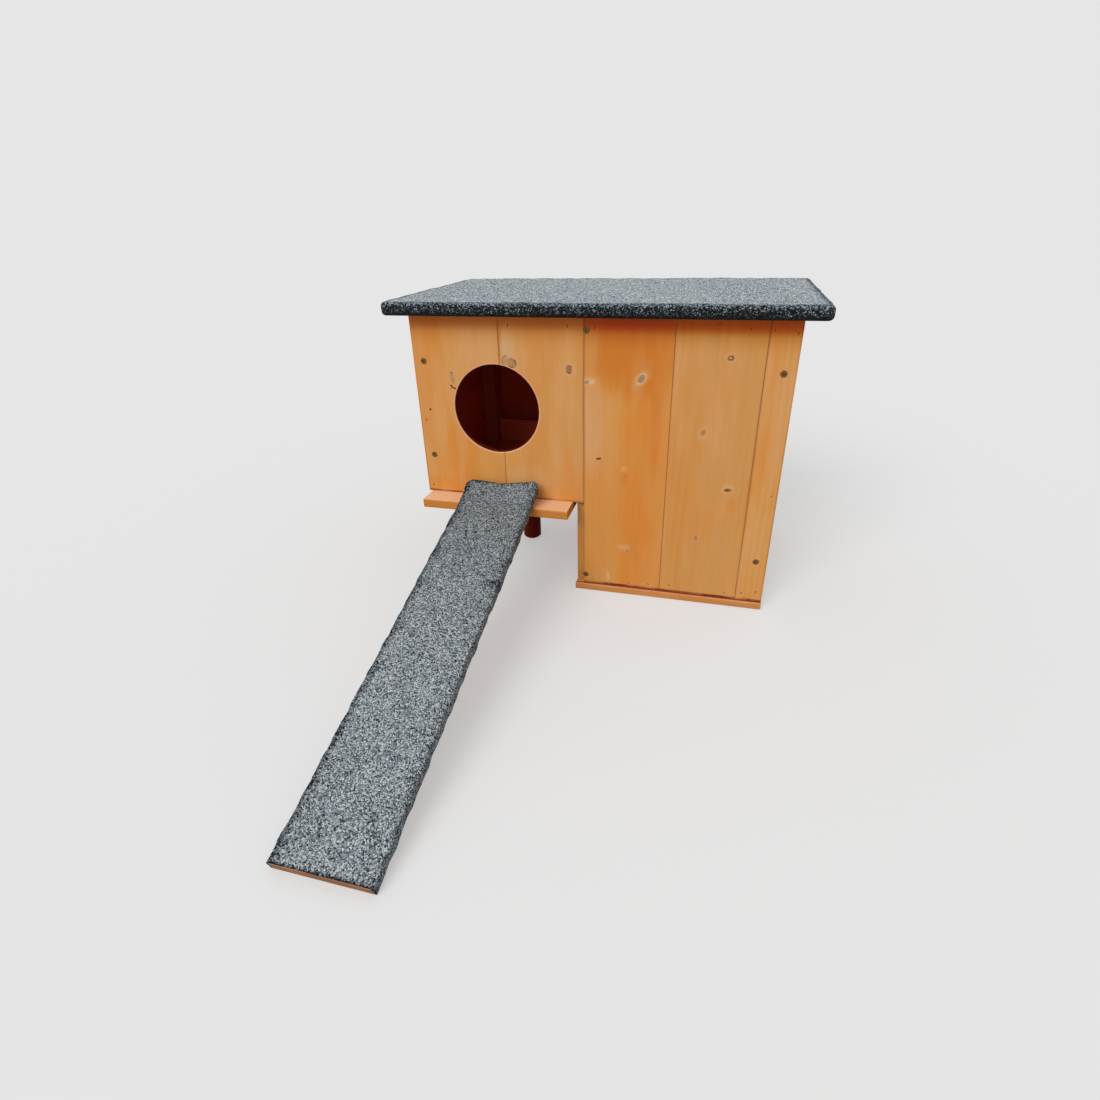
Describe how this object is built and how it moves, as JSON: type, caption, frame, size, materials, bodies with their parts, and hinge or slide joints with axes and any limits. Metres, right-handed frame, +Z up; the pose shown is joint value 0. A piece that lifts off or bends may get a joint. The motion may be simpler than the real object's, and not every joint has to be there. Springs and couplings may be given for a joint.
{
  "type": "duck house",
  "caption": "Wooden duck house: a deep nest box with a raised entry porch, a round entrance, a hinged felt-covered lid and a felt-covered ramp.",
  "frame": {"origin": "on the ground, in the middle of the house's footprint, on the underside of the nest's base panel", "axes": "+X to the right seen from the front, +Y from the front to the back, +Z up"},
  "size_m": [0.668, 0.9955, 0.4975],
  "materials": {
    "board_wood": "honey-stained softwood boards, satin",
    "frame_wood": "stained softwood battens, sawn",
    "leg_wood": "dark stained round post",
    "felt": "bitumen felt with blue-grey mineral granules, matt",
    "screw_steel": "yellow-passivated steel, dulled",
    "hinge_steel": "zinc-plated steel"
  },
  "bodies": {
    "house": {"base_panel": "board_wood", "entry_ledge_board": "board_wood", "entry_floor_board_1": "board_wood", "entry_floor_board_2": "board_wood", "entry_left_front_post": "frame_wood", "entry_left_back_post": "frame_wood", "nest_left_front_post": "frame_wood", "nest_left_back_post": "frame_wood", "nest_right_front_post": "frame_wood", "nest_right_back_post": "frame_wood", "entry_front_top_rail": "frame_wood", "entry_back_top_rail": "frame_wood", "entry_back_bottom_rail": "frame_wood", "nest_front_top_rail": "frame_wood", "nest_front_bottom_rail": "frame_wood", "nest_back_top_rail": "frame_wood", "nest_back_bottom_rail": "frame_wood", "entry_front_board_1": "board_wood", "entry_front_board_2": "board_wood", "nest_front_board_1": "board_wood", "nest_front_board_2": "board_wood", "nest_front_board_3": "board_wood", "entry_back_board_1": "board_wood", "entry_back_board_2": "board_wood", "nest_back_board_1": "board_wood", "nest_back_board_2": "board_wood", "nest_back_board_3": "board_wood", "left_side_board_1": "board_wood", "left_side_board_2": "board_wood", "left_side_board_3": "board_wood", "right_side_board_1": "board_wood", "right_side_board_2": "board_wood", "right_side_board_3": "board_wood", "right_side_board_4": "board_wood", "inner_wall_board_1": "board_wood", "inner_wall_board_2": "board_wood", "inner_wall_board_3": "board_wood", "inner_wall_board_4": "board_wood", "porch_leg": "leg_wood", "front_screw_left_1": "screw_steel", "front_screw_left_2": "screw_steel", "front_screw_middle_1": "screw_steel", "front_screw_middle_2": "screw_steel", "front_screw_right_1": "screw_steel", "front_screw_right_2": "screw_steel", "hinge_wall_leaf_left": "hinge_steel", "hinge_wall_leaf_right": "hinge_steel", "hinge_pin_left": "hinge_steel", "hinge_pin_right": "hinge_steel"},
    "lid": {"lid_board_1": "board_wood", "lid_board_2": "board_wood", "lid_board_3": "board_wood", "lid_batten_left": "frame_wood", "lid_batten_right": "frame_wood", "lid_felt": "felt", "hinge_lid_leaf_left": "hinge_steel", "hinge_lid_leaf_right": "hinge_steel"},
    "ramp": {"ramp_board": "board_wood", "ramp_felt": "felt", "ramp_cleat": "frame_wood"}
  },
  "joints": [
    {"name": "lid_hinge", "type": "hinge", "parent": "house", "child": "lid", "pos_m": [0, 0.1705, 0.4745], "axis": [-1, 0, 0], "range_deg": [0, 100]},
    {"name": "ramp_tilt", "type": "hinge", "parent": "house", "child": "ramp", "pos_m": [-0.154, -0.205, 0.168], "axis": [-1, 0, 0], "range_deg": [0, 15.6]}
  ]
}
